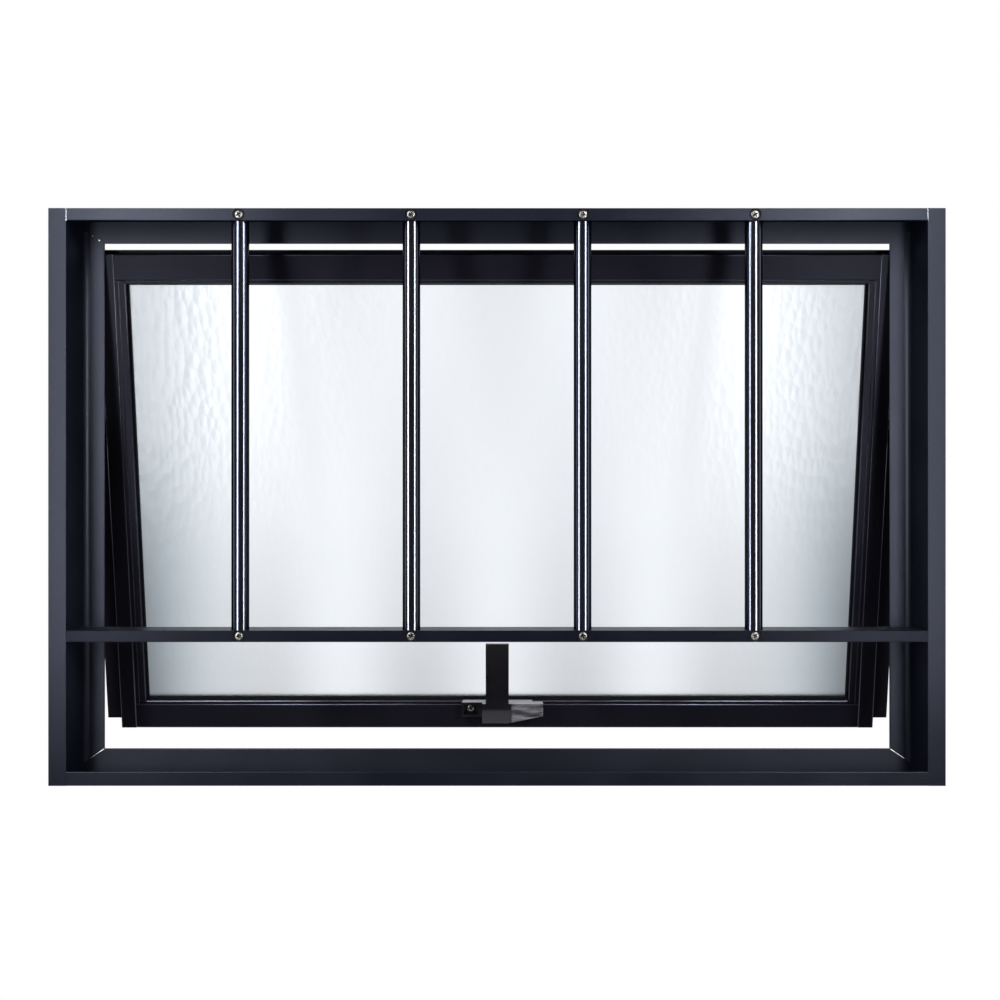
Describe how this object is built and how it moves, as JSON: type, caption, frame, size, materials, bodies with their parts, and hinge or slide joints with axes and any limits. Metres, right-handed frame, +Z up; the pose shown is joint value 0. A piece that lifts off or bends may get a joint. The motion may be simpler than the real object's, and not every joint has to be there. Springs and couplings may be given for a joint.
{
  "type": "top hung awning window",
  "caption": "Top hung awning window: box frame, outward opening sash with patterned glass on friction stays, cam catch and a bar grille on the room side.",
  "frame": {"origin": "middle of the sill's underside, at half the frame's depth", "axes": "+Z up, +X to the right as seen from the room, +Y from the room to the outside"},
  "size_m": [0.8, 0.1892, 0.515],
  "materials": {
    "frame_coat": "satin blue-black powder coat",
    "sash_coat": "satin blue-black powder coat",
    "grille_coat": "gloss black powder coat",
    "catch_metal": "gloss black enamel on a casting",
    "stay_steel": "brushed stainless",
    "gasket_rubber": "matt black rubber",
    "patterned_glass": "fine patterned obscure glass"
  },
  "bodies": {
    "window": {"bottom_bead": "sash_coat", "bottom_gasket": "gasket_rubber", "bottom_rail": "sash_coat", "catch_base": "catch_metal", "glass_pane": "patterned_glass", "grille_bar_1": "grille_coat", "grille_bar_2": "grille_coat", "grille_bar_3": "grille_coat", "grille_bar_4": "grille_coat", "grille_crossbar": "grille_coat", "head": "frame_coat", "head_stop": "frame_coat", "left_bead": "sash_coat", "left_gasket": "gasket_rubber", "left_jamb": "frame_coat", "left_stay_arm": "stay_steel", "left_stay_link": "stay_steel", "left_stay_shoe": "stay_steel", "left_stay_track": "stay_steel", "left_stile": "sash_coat", "left_stop": "frame_coat", "right_bead": "sash_coat", "right_gasket": "gasket_rubber", "right_jamb": "frame_coat", "right_stay_arm": "stay_steel", "right_stay_link": "stay_steel", "right_stay_shoe": "stay_steel", "right_stay_track": "stay_steel", "right_stile": "sash_coat", "right_stop": "frame_coat", "sill": "frame_coat", "sill_stop": "frame_coat", "top_bead": "sash_coat", "top_gasket": "gasket_rubber", "top_rail": "sash_coat"},
    "catch_handle": {"catch_lever": "catch_metal"}
  },
  "joints": [
    {"name": "catch_turn", "type": "hinge", "parent": "window", "child": "catch_handle", "pos_m": [0, 0.09499, 0.04729], "axis": [0, 0.979, 0.2036], "range_deg": [0, 90]}
  ]
}
